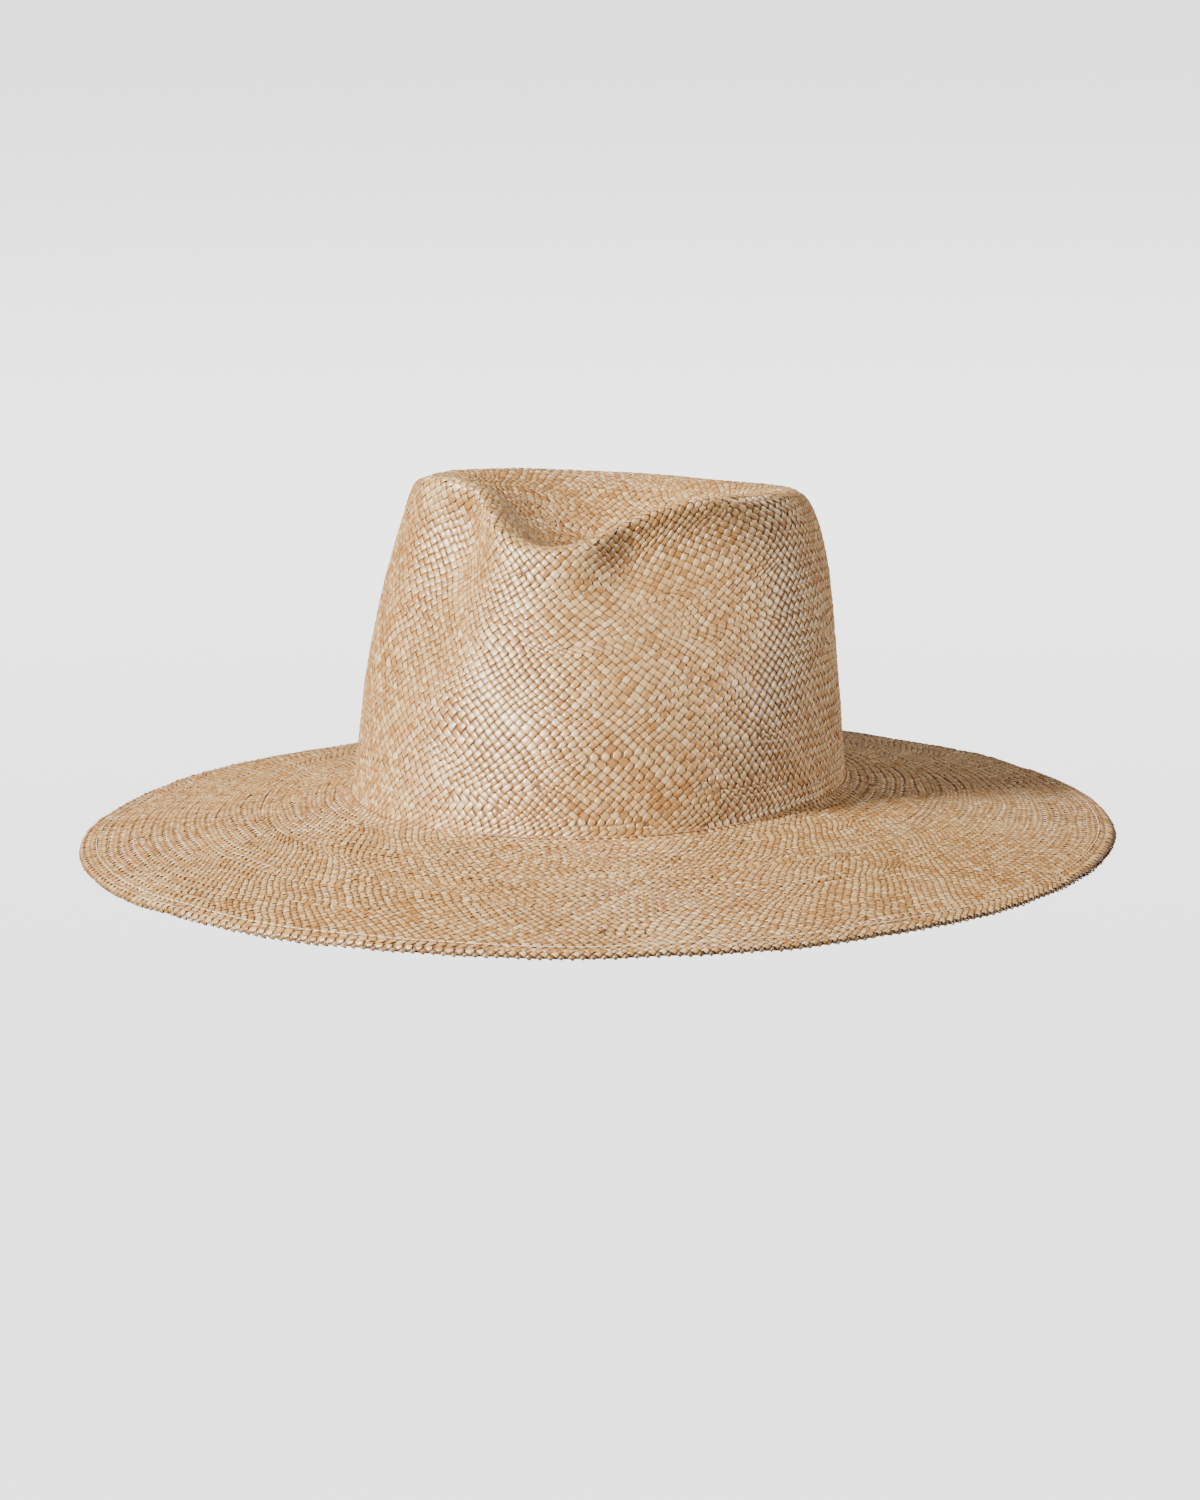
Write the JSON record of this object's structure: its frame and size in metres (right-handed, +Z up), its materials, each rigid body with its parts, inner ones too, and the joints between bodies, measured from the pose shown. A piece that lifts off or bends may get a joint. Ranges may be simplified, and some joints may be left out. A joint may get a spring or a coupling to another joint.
{
  "type": "panama hat",
  "caption": "Woven straw sun hat with a pinched teardrop crown, a wide flat brim with a folded hem, and an inner sweatband that seats it on the head.",
  "frame": {"origin": "centre of the head opening, in the plane of the crease between crown and brim", "axes": "+Z up through the crown, +Y towards the back of the hat (its front faces -Y), +X towards the wearer's left"},
  "size_m": [0.3662, 0.397, 0.1319],
  "materials": {
    "straw": "woven toquilla-type straw, slightly glossy",
    "hem_thread": "matte sewing thread",
    "band_leather": "smooth satin leather",
    "reed": "matte",
    "band_thread": "matte sewing thread",
    "band_tape": "ribbed tape",
    "bow_ribbon": "narrow satin ribbon",
    "label_cloth": "plain woven cloth, blank"
  },
  "bodies": {
    "root": {"straw_crown": "straw", "straw_brim": "straw", "brim_hem": "straw", "hem_thread": "hem_thread", "sweatband": "band_leather", "sweatband_reed": "reed", "sweatband_thread": "band_thread", "sweatband_joint_tape": "band_tape", "sweatband_bow": "bow_ribbon", "size_label": "label_cloth"}
  },
  "joints": []
}
